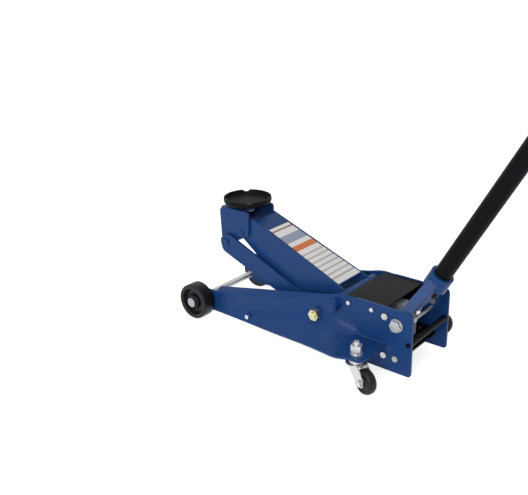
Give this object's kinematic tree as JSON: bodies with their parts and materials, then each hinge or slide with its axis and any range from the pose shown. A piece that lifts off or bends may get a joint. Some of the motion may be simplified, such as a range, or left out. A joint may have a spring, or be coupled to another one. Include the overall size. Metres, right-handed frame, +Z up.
{
  "type": "car jack",
  "caption": "Low-profile hydraulic trolley jack with lift arm, swivel saddle, front wheels, rear casters and a long pump handle.",
  "frame": {"origin": "on the floor below the middle of the whole part's bounding box", "axes": "+X towards the saddle end, +Y to the jack's left side, +Z up"},
  "size_m": [1.1458, 0.3748, 1.0905],
  "materials": {
    "blue_paint": "gloss",
    "rod_paint": "gloss",
    "black_paint": "satin",
    "white_label": "satin",
    "wheel_plastic": "satin",
    "caster_plastic": "satin",
    "grip_rubber": "matt",
    "yellow_zinc": "satin",
    "chrome_steel": "polished",
    "zinc_steel": "satin",
    "bright_steel": "satin"
  },
  "bodies": {
    "frame": {"arm_pivot_shaft": "bright_steel", "axle_washers": "bright_steel", "caster_nuts": "bright_steel", "caster_race_left": "bright_steel", "caster_race_right": "bright_steel", "caster_stud_left": "bright_steel", "caster_stud_right": "bright_steel", "cover_plate": "black_paint", "cover_screws": "bright_steel", "cradle_bolts": "bright_steel", "cylinder_tube": "bright_steel", "filler_plug": "bright_steel", "front_axle": "bright_steel", "gland_nut": "bright_steel", "handle_pivot_bolt_left": "bright_steel", "handle_pivot_bolt_right": "bright_steel", "hub_caps": "zinc_steel", "low_bolts": "bright_steel", "pump_block": "rod_paint", "rear_tie_bar": "bright_steel", "release_valve_gland": "bright_steel", "rod_pivot_bolt_left": "yellow_zinc", "rod_pivot_bolt_right": "yellow_zinc", "rod_pivot_nuts": "yellow_zinc", "side_plate_left": "blue_paint", "side_plate_right": "blue_paint", "unit_bolts": "bright_steel", "unit_cradle": "bright_steel"},
    "front_wheel_left": {"front_wheel_left": "wheel_plastic"},
    "front_wheel_right": {"front_wheel_right": "wheel_plastic"},
    "lift_arm": {"lift_arm": "blue_paint", "arm_label": "white_label", "arm_tip_pin": "bright_steel", "push_pin": "bright_steel"},
    "bracket": {"saddle_bracket": "blue_paint", "bracket_pin": "bright_steel"},
    "saddle": {"saddle": "black_paint", "saddle_circlip": "bright_steel"},
    "rod_left": {"radius_rod_left": "rod_paint"},
    "rod_right": {"radius_rod_right": "rod_paint"},
    "ram": {"ram": "chrome_steel"},
    "socket": {"handle_socket": "blue_paint", "roller_pin": "bright_steel", "collar_screw": "bright_steel"},
    "roller": {"pump_roller": "bright_steel"},
    "plunger": {"pump_plunger": "chrome_steel"},
    "handle": {"handle_lower_tube": "black_paint", "handle_upper_tube": "black_paint", "handle_joint_bolt": "bright_steel", "handle_grip": "grip_rubber", "release_shaft": "bright_steel", "release_joint": "bright_steel"},
    "release_valve": {"release_valve_stem": "chrome_steel"},
    "caster_left": {"caster_fork_left": "zinc_steel", "caster_axle_left": "bright_steel"},
    "caster_right": {"caster_fork_right": "zinc_steel", "caster_axle_right": "bright_steel"},
    "caster_wheel_left": {"caster_wheel_left": "caster_plastic"},
    "caster_wheel_right": {"caster_wheel_right": "caster_plastic"}
  },
  "joints": [
    {"name": "lift", "type": "hinge", "parent": "frame", "child": "lift_arm", "pos_m": [0.12394, 0, 0.137], "axis": [0, -1, 0], "range_deg": [-29, 45]},
    {"name": "bracket_level", "type": "hinge", "parent": "lift_arm", "child": "bracket", "pos_m": [0.43594, 0, 0.225], "axis": [0, -1, 0], "range_deg": [-46, 30]},
    {"name": "saddle_swivel", "type": "hinge", "parent": "bracket", "child": "saddle", "pos_m": [0.45493, 0, 0.281], "axis": [0, 0, 1], "continuous": true},
    {"name": "rod_left_swing", "type": "hinge", "parent": "frame", "child": "rod_left", "pos_m": [0.16794, 0, 0.105], "axis": [0, -1, 0], "range_deg": [-30, 46]},
    {"name": "rod_right_swing", "type": "hinge", "parent": "frame", "child": "rod_right", "pos_m": [0.16794, 0, 0.105], "axis": [0, -1, 0], "range_deg": [-30, 46]},
    {"name": "ram_stroke", "type": "slide", "parent": "frame", "child": "ram", "axis": [1, 0, 0], "range_m": [-0.0246, 0.0382]},
    {"name": "handle_pump", "type": "hinge", "parent": "frame", "child": "socket", "pos_m": [-0.03106, 0, 0.131], "axis": [0, -1, 0], "range_deg": [-29, 50]},
    {"name": "roller_spin", "type": "hinge", "parent": "socket", "child": "roller", "pos_m": [-0.0335, 0.024, 0.11721], "axis": [0, 1, 0], "continuous": true},
    {"name": "plunger_stroke", "type": "slide", "parent": "frame", "child": "plunger", "axis": [1, 0, 0], "range_m": [-0.008, 0.0125]},
    {"name": "handle_twist", "type": "hinge", "parent": "socket", "child": "handle", "pos_m": [-0.03106, 0, 0.131], "axis": [-0.4833, 0, 0.8755], "range_deg": [0, 180]},
    {"name": "release_turn", "type": "hinge", "parent": "frame", "child": "release_valve", "pos_m": [-0.02207, 0, 0.131], "axis": [-1, 0, 0], "range_deg": [-1, 181]},
    {"name": "front_wheel_left_spin", "type": "hinge", "parent": "frame", "child": "front_wheel_left", "pos_m": [0.52794, 0.123, 0.045], "axis": [0, 1, 0], "continuous": true},
    {"name": "front_wheel_right_spin", "type": "hinge", "parent": "frame", "child": "front_wheel_right", "pos_m": [0.52794, -0.123, 0.045], "axis": [0, 1, 0], "continuous": true},
    {"name": "caster_left_swivel", "type": "hinge", "parent": "frame", "child": "caster_left", "pos_m": [0.02093, 0.156, 0.06], "axis": [0, 0, 1], "continuous": true},
    {"name": "caster_right_swivel", "type": "hinge", "parent": "frame", "child": "caster_right", "pos_m": [0.02093, -0.156, 0.06], "axis": [0, 0, 1], "continuous": true},
    {"name": "caster_wheel_left_spin", "type": "hinge", "parent": "caster_left", "child": "caster_wheel_left", "pos_m": [-0.0095, 0.16589, 0.028], "axis": [0.309, 0.9511, 0], "continuous": true},
    {"name": "caster_wheel_right_spin", "type": "hinge", "parent": "caster_right", "child": "caster_wheel_right", "pos_m": [-0.0095, -0.16589, 0.028], "axis": [-0.309, 0.9511, 0], "continuous": true}
  ],
  "couplings": [
    {"joint": "bracket_level", "follows": "lift", "ratio": -1},
    {"joint": "rod_left_swing", "follows": "lift", "ratio": 1},
    {"joint": "rod_right_swing", "follows": "lift", "ratio": 1},
    {"joint": "ram_stroke", "follows": "lift", "m_per_rad": 0.0472},
    {"joint": "plunger_stroke", "follows": "handle_pump", "m_per_rad": 0.0131},
    {"joint": "release_turn", "follows": "handle_twist", "ratio": 1}
  ]
}
